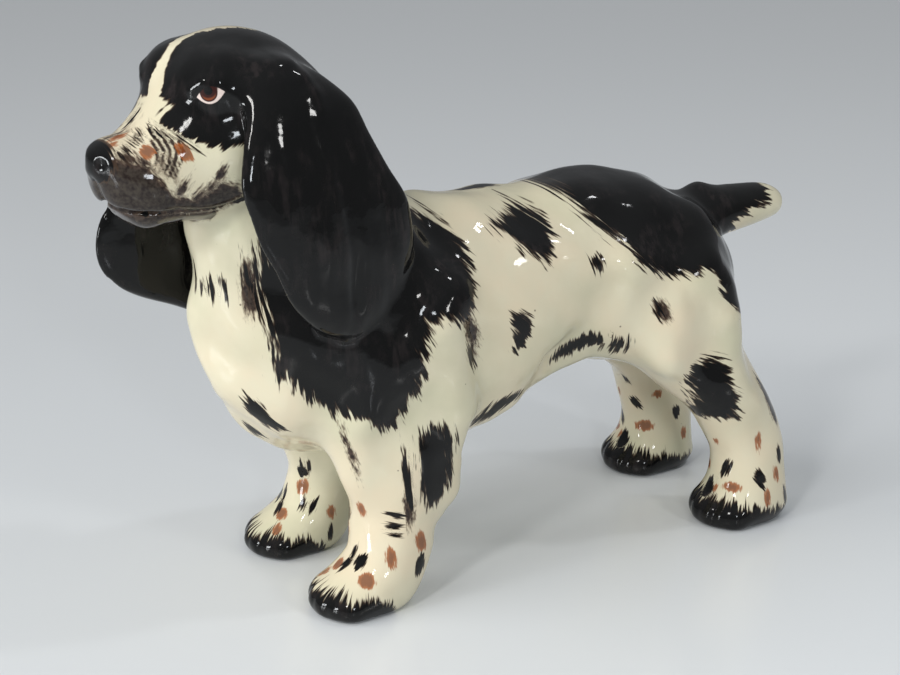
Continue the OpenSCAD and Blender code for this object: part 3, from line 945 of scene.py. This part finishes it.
# Dabs of black: place, direction of the strokes, half length along them, half width across them.
BODY_DABS = [
    ((-2.5, 3, 60.9), (0, 1, 0), 4.2, 1.7), ((14.9, 14.7, 50.6), (0, 0.35, -1), 1.8, 1.1),
    ((17, -9.9, 39.4), (0, 0.5, -0.9), 2.4, 1.0), ((17.1, 26.0, 41.5), (0, 0.6, -0.9), 1.8, 0.8),
    ((8, -40.4, 32.8), (0.35, 0.5, -0.85), 4.4, 1.7), ((0.9, -47, 53.6), DOWN, 1.7, 0.5),
    ((2.9, -46.8, 52.6), DOWN, 1.3, 0.6), ((4.7, -46.2, 52.8), DOWN, 1.7, 0.8),
    ((6.6, -45.2, 53.4), DOWN, 1.5, 0.5), ((9.4, -42.6, 54.6), DOWN, 3.4, 0.8),
    ((-4.6, -46, 53), DOWN, 1.6, 0.8), ((-15.4, 17, 49), (0, 0.35, -1), 2.6, 1.5),
    ((-16.4, -2, 39), (0, 0.5, -0.9), 2.6, 1.4), ((-12.6, 12, 36.6), (0, 0.15, -1), 1.5, 4.2),
    ((-10.4, -4, 26.8), (0, 0.5, 0.6), 1.6, 3.6), ((-8, -40.6, 34), (-0.35, 0.5, -0.85), 3.6, 1.5),
    ((-6.4, 6, 60), (0, 1, -0.3), 2.6, 1.5), ((2.6, -40, 27.4), (0, 0.8, -0.5), 2.2, 1.0),
    ((16.7, 33.4, 18.2), DOWN, 0.9, 0.5),
]
LEG_DABS = [
    ((9.4, -26.4, 14.2), (-0.3, 0.5, -0.9), 1.2, 1.1), ((17.7, -23, 15.9), (0, 1, -0.2), 1.5, 0.5),
    ((17.7, -23, 14.3), (0, 1, -0.2), 1.4, 0.5), ((17.7, -22.9, 12.8), (0, 1, -0.3), 1.2, 0.4),
    ((12.6, -29.3, 7.4), (0.3, 0.3, 0.8), 1.7, 0.8), ((15.6, -28, 8.6), (-0.3, 0.3, -0.8), 1.4, 1.1),
    ((18.9, -19, 7.2), (0, -0.2, -1), 1.9, 1.2), ((18.4, -21.2, 22), (0, 0.1, -1), 5.4, 0.7),
    ((15.8, 42.1, 10.1), (0, 0.8, 0.7), 2.0, 0.8), ((20, 46.4, 8.6), (0, 0.6, -0.8), 1.8, 0.9),
    ((19.3, 53, 4.4), (0, 0.1, -1), 2.0, 0.9), ((16.4, 49.8, 21.4), (0, 0.3, -1), 4.4, 1.0),
    ((18.9, 51.4, 12.4), (0, 0.1, -1), 1.8, 0.7), ((13.2, 39.4, 6.8), (0, 0.3, 1), 2.2, 1.3),
]
INNER_DABS = [
    ((9.5, -26.2, 14.9), (0, -0.1, -1), 1.7, 0.5), ((8.3, -25.8, 15), (0, -0.1, -1), 1.5, 0.5),
    ((7.4, -25.6, 8.8), (0, -0.5, -0.8), 1.3, 0.6), ((8.8, -26.4, 8.6), (0, -0.5, -0.8), 1.2, 0.5),
    ((13, -28.2, 9.2), (0, -0.3, -1), 1.5, 0.6), ((6.4, -23, 3.8), (0, 0.1, -1), 1.6, 0.6),
    ((10.8, 39, 18.5), (0, 1, -0.3), 1.5, 0.6), ((11, 41.5, 14.3), (0, 1, -0.3), 1.5, 0.9),
    ((7.6, 48.2, 12), (0, 0.3, -1), 1.4, 0.9),
]
RUST_DABS = [
    ((13.9, -27.2, 16.2), DOWN, 1.6, 0.9), ((18.2, -18.6, 11), DOWN, 1.9, 1.2),
    ((18.6, -24, 9.3), DOWN, 1.9, 1.0), ((9.2, -31.4, 5.2), (0.3, 0.4, 1), 1.4, 0.9),
    ((17.8, -28.1, 6.2), DOWN, 1.5, 1.5), ((14.5, 40.8, 15.3), DOWN, 0.9, 0.6),
    ((19.1, 46.3, 15.6), DOWN, 2.0, 0.7), ((19.6, 50.2, 9.2), DOWN, 1.7, 0.8),
    ((17.4, 42.3, 7.3), DOWN, 1.0, 1.9), ((20.5, 47.6, 5.6), DOWN, 2.0, 0.8),
]
INNER_RUST_DABS = [
    ((9.3, -26.6, 11.6), DOWN, 1.5, 1.3), ((11, -29.5, 6.4), DOWN, 1.3, 1.3),
    ((6.3, -22.5, 7.3), DOWN, 1.4, 0.9), ((7.7, 44.4, 15.8), DOWN, 0.9, 1.1),
    ((10, 42.9, 9.4), DOWN, 1.2, 2.0), ((14.5, 41, 6.7), DOWN, 0.9, 0.6),
    ((7.9, 50.4, 7.4), DOWN, 1.4, 0.9),
]
FACE_DABS = [
    ((-1.4, -22.4, 78.2), (0, 1, 0.5), 1.7, 0.8), ((4.4, -27.2, 74.6), (0.3, 0.4, -0.9), 1.0, 0.5),
    ((4.0, -26.3, 75.2), (0.3, 0.4, -0.9), 1.2, 0.45), ((3.5, -25.4, 75.8), (0.3, 0.4, -0.9), 1.3, 0.45),
    ((3.0, -24.5, 76.4), (0.3, 0.4, -0.9), 1.4, 0.45), ((2.7, -23.5, 77.0), (0.3, 0.4, -0.9), 1.4, 0.45),
    ((3.4, -22.5, 77.4), (0.3, 0.4, -0.9), 1.5, 0.4), ((4.7, -21.9, 77.4), (0.3, 0.5, -0.8), 1.5, 0.4),
    ((6.0, -21.2, 76.9), (0.3, 0.6, -0.7), 1.5, 0.35), ((7.2, -20.0, 76.6), (0.3, 0.7, -0.6), 1.4, 0.35),
    ((-3.6, -25.4, 75.4), (-0.3, 0.4, -0.9), 1.3, 0.45),
    ((-4.2, -24.2, 75.6), (-0.3, 0.4, -0.9), 1.3, 0.45), ((-5, -22.8, 76), (-0.3, 0.4, -0.9), 1.4, 0.4),
    ((-6, -21.4, 76.4), (-0.3, 0.5, -0.8), 1.4, 0.4),
]
FACE_RUST_DABS = [
    ((5.5, -24.2, 75.0), (0.3, 0.6, -0.8), 1.3, 1.2), ((8.3, -19.7, 74.8), (0, 0.5, -0.8), 1.7, 1.1),
    ((1.1, -26.4, 76.5), (0, 1, 0.4), 2.2, 0.7), ((2.2, -27.8, 75.6), (0, 1, 0.3), 1.6, 0.6),
    ((-5.9, -23.8, 74.8), (0, 0.6, -0.8), 1.4, 1.1), ((-8.4, -19.4, 74.4), (0, 0.5, -0.8), 1.6, 1.1),
]
# Thin brown strokes on the muzzle, listed as the dabs of black are.
FACE_BROWN_DABS = [
    ((10.0, -15.4, 71.2), (0, 0.5, 0.9), 2.2, 0.8), ((9.4, -16.6, 69.4), (0, 0.6, 0.8), 2.2, 0.8),
    ((8.8, -18.2, 68.4), (0, 0.7, 0.7), 2.4, 0.9), ((8.4, -20.4, 69.8), (0, 0.6, 0.8), 2.2, 0.9),
    ((6.4, -25.0, 73.6), (0.2, 0.5, -0.8), 2.0, 0.9), ((5.0, -26.6, 74.2), (0.2, 0.5, -0.8), 1.6, 0.9),
    ((0.6, -25.4, 77.0), (0, 1, 0.4), 2.4, 0.6), ((-0.2, -27.2, 76.2), (0, 1, 0.4), 1.8, 0.6),
    ((7.4, -23.0, 73.4), (0.2, 0.2, -1), 2.0, 0.5), ((8.2, -21.6, 72.8), (0.1, 0.2, -1), 2.2, 0.5),
]
MULBERRY_DABS = [
    ((14.9, -29.2, 27), (0.1, 0.25, -1), 4.6, 0.8), ((9.4, -26.2, 15.2), DOWN, 2.0, 1.5),
    ((18.2, -21, 17), DOWN, 4.0, 0.9), ((17.1, 26.2, 41.3), (0, 0.6, -0.9), 2.4, 1.4),
    ((9.6, -42.4, 52.6), DOWN, 4.6, 1.5), ((16.6, 49.6, 21.6), (0, 0.3, -1), 4.6, 1.5),
    ((14.2, -10.6, 40.6), (0, 0.6, -0.8), 2.2, 1.0), ((17.4, -9.4, 43.6), (0, 0.6, -0.8), 3.6, 1.6),
    ((-14.9, -29.2, 27), (-0.1, 0.25, -1), 3.6, 0.8), ((-16.6, 27.8, 41), (0, 0.6, -0.9), 3.2, 1.6),
]


def paint_toes(ink, foot, heights):
    """Short upright strokes all round the toes of a left and a right foot."""
    x, y, z = ink.skin.points.T
    turn = np.arctan2(np.abs(x) - foot[0], foot[1] - y)
    top = np.interp(np.degrees(np.abs(turn)), *np.transpose(heights))
    near = (np.abs(y - foot[1]) < 14) & (z < 12)
    ink.lay(near, 8 * turn + 20 * (x > 0), z, 1.2 * (top - z))


def paint_black(skin):
    """The black patches, toes and dabs."""
    ink = Brush(skin)
    ink.patch(SHOULDER_LEFT, (-46, 92), side=1)
    ink.patch(SHOULDER_RIGHT, (-46, 92), side=-1)
    ink.patch(SADDLE, (-8, 80))
    ink.patch(HEART, (-12, 72), side=1)
    ink.patch(CRESCENT, (-10, 52), side=1, firm=1.9)
    ink.patch(BELLY_EDGE, (2, 90), side=1, firm=1.4)
    ink.patch(BELLY_EDGE_END, (10, 90), side=1, firm=0.8)
    ink.patch(BELLY_STRIP, (-16, 12), side=1, firm=1.6)
    ink.patch(THIGH, (20, 38), side=1)
    ink.patch(ELBOW, (-20, 52), side=1)
    ink.patch(RIGHT_FLANK, (-12, 72), side=-1)
    ink.patch(RIGHT_THIGH, (20, 60), side=-1)
    ink.patch(RIGHT_ELBOW, (-20, 52), side=-1)
    paint_toes(ink, FORE_FOOT, FORE_TOES)
    paint_toes(ink, HIND_FOOT, HIND_TOES)
    for dab in BODY_DABS:
        ink.dab(*dab)
    ink.dabs_both_sides(LEG_DABS + INNER_DABS, 3.4)
    return ink


def paint_face(skin, ink):
    """The black mask on each side of the blaze, the nose, the mouth and the whisker marks."""
    side, back, z = skin.face.T
    table = np.array(BLAZE)[::-1]
    middle, half = (np.interp(-back, table[:, 0], table[:, j]) for j in (1, 2))
    mask = depth_inside(outline(MASK), back, z)
    depth = np.minimum(np.abs(side - middle) - half, mask) * 2.3
    skull = (z > 60) & (skin.points[:, 1] < -8)
    ink.lay(skull & (back < 1), 0.7 * back - 0.7 * z, side, depth)
    ink.lay(skull & (back >= 1), side, z - back, depth + 1.5 * np.cos(0.9 * side))
    nose = 1 - np.sqrt((side / 4.4) ** 2 + ((back + 29.0) / 3.4) ** 2 + ((z - 73.4) / 3.0) ** 2)
    ink.lay(skin.on_head, back, z, nose * 9.0)
    ink.face_line_both_sides(MOUTH, 0.6)
    for dab in FACE_DABS:
        ink.dab(*dab, on_face=True)


def paint_rust(skin):
    """The rust-red dabs on the legs and the muzzle."""
    rust = Brush(skin)
    rust.dabs_both_sides(RUST_DABS + INNER_RUST_DABS, 1.8)
    for dab in FACE_RUST_DABS:
        rust.dab(*dab, firm=1.8, on_face=True)
    return rust


# The foremost and the rearmost of the fine curved hairs down the side of the muzzle.
HAIR_FRONT = ((4.9, -23.2, 76.5), (6.2, -23.0, 75.2), (6.8, -23.4, 73.8), (7.0, -24.2, 72.4))
HAIR_REAR = ((7.4, -20.2, 76.2), (8.2, -19.9, 74.8), (8.4, -20.6, 73.2), (8.3, -21.6, 71.4))
HAIRS = 5


def paint_muzzle_hairs(brush):
    """Fine curved hairs, one beside another, down each side of the muzzle."""
    front, rear = np.array(HAIR_FRONT), np.array(HAIR_REAR)
    for number in range(HAIRS):
        hair = front + (rear - front) * number / (HAIRS - 1)
        brush.face_line_both_sides(hair, 0.3)


def paint_mulberry(skin):
    """Thin purple-brown, over the lips and chin and in a few loose strokes."""
    thin = Brush(skin)
    for side in (1, -1):
        thin.patch(LIPS, (-34, 84), side=side, firm=1.3, on_face=True)
    thin.patch(CHIN, (-24, 80), firm=1.6, on_face=True)
    for dab in MULBERRY_DABS:
        thin.dab(*dab, firm=1.5)
    thin.dabs_both_sides(FACE_BROWN_DABS, 1.6, on_face=True)
    paint_muzzle_hairs(thin)
    return thin


EYE = (9.6, -16.3, 82.6)            # middle of the painted left eye, in the head's own frame
EYE_LINE = (0.72, 0.66, 0.14)       # from its front corner to its rear corner
EYE_REACH = 3.6


def paint_eyes(skin):
    """Places across and up each painted eye, and the distance from its middle."""
    value = np.zeros((len(skin.points), 3))
    for side in (1, -1):
        centre = np.array(EYE) * (side, 1, 1)
        nearest = np.argmin(((skin.face - centre) ** 2).sum(axis=1))
        centre, up = skin.face[nearest], skin.face_normals[nearest]
        along = np.array(EYE_LINE) * (side, 1, 1)
        along -= up * (along @ up)
        along /= np.linalg.norm(along)
        above = np.cross(up, along) * side
        rest = skin.face - centre
        here = skin.face[:, 0] * side > 0
        away = np.linalg.norm(rest, axis=1)
        value[here] = np.stack([rest @ along, rest @ above * np.sign(above[2]), away], axis=1)[here]
    return value


# ---------------------------------------------------------------- glazes

class Recipe:
    """A short way to write a material's nodes."""

    def __init__(self, name):
        self.material = bpy.data.materials.new(name)
        self.material.use_nodes = True
        self.tree = self.material.node_tree
        self.shader = self.tree.nodes["Principled BSDF"]

    def node(self, kind, inputs, **settings):
        node = self.tree.nodes.new(kind)
        for key, value in settings.items():
            setattr(node, key, value)
        for key, value in inputs.items():
            if isinstance(value, bpy.types.NodeSocket):
                self.tree.links.new(value, node.inputs[key])
            else:
                node.inputs[key].default_value = value
        return node

    def math(self, operation, *values):
        return self.node("ShaderNodeMath", dict(enumerate(values)), operation=operation).outputs[0]

    def step(self, value, low, high):
        """Zero below `low`, one above `high`, and smooth between them."""
        inputs = {"Value": value, "From Min": low, "From Max": high}
        return self.node("ShaderNodeMapRange", inputs, interpolation_type="SMOOTHSTEP").outputs["Result"]

    def mix(self, share, first, second):
        first, second = (c if isinstance(c, bpy.types.NodeSocket) else c + (1.0,) for c in (first, second))
        inputs = {0: share, 6: first, 7: second}
        return self.node("ShaderNodeMix", inputs, data_type="RGBA").outputs[2]

    def noise(self, vector, scale, detail=2.0, roughness=0.55):
        inputs = {"Vector": vector, "Scale": scale, "Detail": detail, "Roughness": roughness}
        return self.node("ShaderNodeTexNoise", inputs).outputs["Fac"]

    def scaled(self, vector, factors):
        return self.node("ShaderNodeVectorMath", {0: vector, 1: factors}, operation="MULTIPLY").outputs[0]

    def place(self):
        """The place on the surface, in millimetres."""
        source = self.node("ShaderNodeTexCoord", {}).outputs["Object"]
        return self.scaled(source, (1 / MM, 1 / MM, 1 / MM))

    def attribute(self, name):
        return self.node("ShaderNodeAttribute", {}, attribute_name=name).outputs["Vector"]

    def split(self, vector):
        return self.node("ShaderNodeSeparateXYZ", {0: vector}).outputs

    def strokes(self, name, reach, across, along):
        """Depth in a paint, ragged along its strokes."""
        x, y, depth = self.split(self.attribute(name))
        flow = self.node("ShaderNodeCombineXYZ", {
            0: self.math("MULTIPLY", x, across), 1: self.math("MULTIPLY", y, along)}).outputs[0]
        broad = self.math("SUBTRACT", self.noise(flow, 1.0, 1.0), 0.5)
        fine = self.math("SUBTRACT", self.noise(flow, 3.1, 1.5), 0.5)
        ragged = self.math("MULTIPLY_ADD", fine, 0.8, broad)
        return self.math("MULTIPLY_ADD", ragged, reach, depth)


IVORY = (0.70, 0.650, 0.485)
IVORY_COOL = (0.61, 0.585, 0.42)
IVORY_WARM = (0.73, 0.635, 0.465)
POOLED = (0.40, 0.35, 0.21)
INK = (0.006, 0.006, 0.006)
THIN_INK = (0.065, 0.040, 0.026)
WORN_INK = (0.021, 0.017, 0.017)
RUST = (0.34, 0.092, 0.018)
RUST_DEEP = (0.18, 0.044, 0.010)
THIN_BROWN = (0.12, 0.066, 0.036)
MULBERRY = (0.036, 0.015, 0.013)
MULBERRY_DEEP = (0.010, 0.005, 0.006)
EYE_WHITE = (0.72, 0.60, 0.55)
IRIS = (0.21, 0.052, 0.018)
# Dark rim of the iris, and also the painted shade of the upper lid over the top of the iris.
IRIS_RIM_AND_LID_SHADE = (0.035, 0.010, 0.008)
BISQUE_DARK = (0.66, 0.57, 0.45)
BISQUE_PALE = (0.75, 0.68, 0.56)


def black_colour(recipe):
    """Black glaze, a little thinner and browner in places."""
    place = recipe.place()
    cloud = recipe.noise(place, 0.16, 3.0)
    drawn_down = recipe.scaled(place, (0.9, 0.9, 0.16))
    streaks = recipe.step(recipe.noise(drawn_down, 1.0, 3.0), 0.4, 0.7)
    thin = recipe.math("MULTIPLY", recipe.step(cloud, 0.46, 0.72), streaks)
    return recipe.mix(thin, INK, WORN_INK)


def ivory_colour(recipe):
    """Ivory glaze, yellower where it lies deep, warmer and cooler in broad clouds."""
    place = recipe.place()
    cloud = recipe.step(recipe.noise(place, 0.045, 2.0), 0.36, 0.64)
    colour = recipe.mix(cloud, IVORY_COOL, IVORY_WARM)
    colour = recipe.mix(recipe.step(recipe.noise(place, 0.11, 3.0), 0.35, 0.75), colour, IVORY)
    pool = recipe.split(recipe.attribute("pool"))[0]
    colour = recipe.mix(recipe.math("MULTIPLY", recipe.step(pool, 0.02, 0.5), 0.65), colour, POOLED)
    speck = recipe.node("ShaderNodeTexVoronoi", {"Vector": place, "Scale": 0.16}).outputs["Distance"]
    return recipe.mix(recipe.math("MULTIPLY", recipe.step(speck, 0.034, 0.018), 0.7), colour, THIN_INK)


def add_eye(recipe, colour):
    """The painted eye: a white almond, a brown iris, a dark upper lid's shadow, and a pupil."""
    u, v, away = recipe.split(recipe.attribute("eye"))
    bow = recipe.math("MULTIPLY_ADD", recipe.math("MULTIPLY", u, u), -0.235, 1.0)
    lower = recipe.math("MULTIPLY_ADD", bow, 1.3, v)
    upper = recipe.math("MULTIPLY_ADD", u, 0.12, recipe.math("MULTIPLY", bow, 1.2))
    upper = recipe.math("SUBTRACT", upper, v)
    almond = recipe.math("MINIMUM", lower, upper)
    almond = recipe.math("MINIMUM", almond, recipe.math("SUBTRACT", EYE_REACH, away))

    def disc(across, up, radius):
        """How far inside a round spot, in millimetres."""
        wide = recipe.math("POWER", recipe.math("SUBTRACT", u, across), 2.0)
        high = recipe.math("POWER", recipe.math("SUBTRACT", v, up), 2.0)
        return recipe.math("SUBTRACT", radius, recipe.math("SQRT", recipe.math("ADD", wide, high)))

    iris = disc(-0.1, 0.32, 1.26)
    eye = recipe.mix(recipe.step(iris, -0.06, 0.06), EYE_WHITE, IRIS_RIM_AND_LID_SHADE)
    eye = recipe.mix(recipe.step(iris, 0.10, 0.34), eye, IRIS)
    # Painted shade: the upper lid's shadow, laid dark over the top of the iris.
    eye = recipe.mix(recipe.step(disc(-0.1, 0.98, 1.36), -0.2, 0.14), eye, IRIS_RIM_AND_LID_SHADE)
    eye = recipe.mix(recipe.step(disc(-0.1, 0.62, 0.62), -0.06, 0.06), eye, INK)
    return recipe.mix(recipe.step(almond, -0.02, 0.14), colour, eye)


def finish_glaze(recipe, colour):
    """A clear, slightly uneven gloss over the colour."""
    place = recipe.place()
    shader = recipe.shader
    recipe.tree.links.new(colour, shader.inputs["Base Color"])
    uneven = recipe.noise(place, 0.35, 3.0)
    rough = recipe.node("ShaderNodeMapRange", {"Value": uneven, "To Min": 0.03, "To Max": 0.11})
    recipe.tree.links.new(rough.outputs["Result"], shader.inputs["Roughness"])
    shader.inputs["IOR"].default_value = 1.5
    shader.inputs["Specular IOR Level"].default_value = 0.25
    ripple = recipe.math("MULTIPLY_ADD", recipe.noise(place, 0.8, 1.0), 0.2, recipe.noise(place, 0.25, 1.0))
    bump = recipe.node("ShaderNodeBump", {"Height": ripple, "Strength": 1.0, "Distance": 0.00012})
    recipe.tree.links.new(bump.outputs["Normal"], shader.inputs["Normal"])


def painted_glaze():
    """Ivory glaze over thin mulberry, then rust, then black, and the eyes."""
    recipe = Recipe("painted_glaze")
    colour = ivory_colour(recipe)
    thin = recipe.strokes("mulberry", reach=2.6, across=1.3, along=0.35)
    mottle = recipe.step(recipe.noise(recipe.place(), 1.5, 3.0), 0.28, 0.72)
    share = recipe.math("MULTIPLY_ADD", mottle, 0.05, 0.94)
    share = recipe.math("MULTIPLY", recipe.step(thin, -0.4, 0.9), share)
    brown = recipe.mix(recipe.step(thin, 0.0, 1.1), THIN_BROWN, MULBERRY)
    dark = recipe.step(recipe.math("MULTIPLY_ADD", mottle, 1.6, thin), 0.6, 3.0)
    colour = recipe.mix(share, colour, recipe.mix(dark, brown, MULBERRY_DEEP))
    rust = recipe.strokes("rust", reach=1.8, across=1.9, along=0.3)
    rust_colour = recipe.mix(recipe.step(rust, 0.3, 1.3), RUST, RUST_DEEP)
    colour = recipe.mix(recipe.math("MULTIPLY", recipe.step(rust, -0.1, 0.5), 0.88), colour, rust_colour)
    ink = recipe.strokes("ink", reach=5.0, across=1.25, along=0.12)
    ink_colour = recipe.mix(recipe.step(ink, 0.05, 0.9), THIN_INK, black_colour(recipe))
    colour = recipe.mix(recipe.step(ink, -0.35, 0.45), colour, ink_colour)
    finish_glaze(recipe, add_eye(recipe, colour))
    return recipe.material


def black_glaze():
    recipe = Recipe("black_glaze")
    finish_glaze(recipe, black_colour(recipe))
    return recipe.material


def bisque():
    """Bare fired clay, on the inside."""
    recipe = Recipe("bisque")
    place = recipe.place()
    colour = recipe.mix(recipe.noise(place, 0.8, 3.0), BISQUE_DARK, BISQUE_PALE)
    recipe.tree.links.new(colour, recipe.shader.inputs["Base Color"])
    recipe.shader.inputs["Roughness"].default_value = 0.85
    grain = recipe.node("ShaderNodeBump", {"Height": recipe.noise(place, 6.0, 2.0), "Strength": 0.3,
                                           "Distance": 0.0002})
    recipe.tree.links.new(grain.outputs["Normal"], recipe.shader.inputs["Normal"])
    return recipe.material


def pooling(clay, points):
    """Where glaze gathers: how far the surface lies below the clay rubbed smooth."""
    rubbed = Clay.__new__(Clay)
    rubbed.low, rubbed.axes, rubbed.value = clay.low, clay.axes, clay.value.copy()
    rubbed.soften(10)
    return -rubbed.sample(points)


def decorate(clay, skin):
    """Every point's paints, by name."""
    black = paint_black(skin)
    paint_face(skin, black)
    pool = np.zeros((len(skin.points), 3))
    pool[:, 0] = pooling(clay, skin.points)
    return {"ink": black.value, "rust": paint_rust(skin).value, "mulberry": paint_mulberry(skin).value,
            "eye": paint_eyes(skin), "pool": pool}


def make_dog():
    """The nine glazed pieces, each in place of its CAD node."""
    clay, bare = model_dog()
    points, normals, triangles, owner = cut_into_pieces(clay, bare, skin_of(clay))
    paints = decorate(clay, Skin(points, normals))
    painted, black, clay_body = painted_glaze(), black_glaze(), bisque()
    for name in PIECES:
        piece, used = cast_shell(name, clay, points, normals, triangles[owner == name])
        is_ear = name.endswith("ear")
        piece.data.materials.append(black if is_ear else painted)
        piece.data.materials.append(clay_body)
        if not is_ear:
            for paint, value in paints.items():
                layer = piece.data.attributes.new(paint, "FLOAT_VECTOR", "POINT")
                both_faces = np.concatenate([value[used], value[used]])
                layer.data.foreach_set("vector", both_faces.ravel())
        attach(piece, "root")
        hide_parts(name)


make_camera()
make_studio()
make_dog()
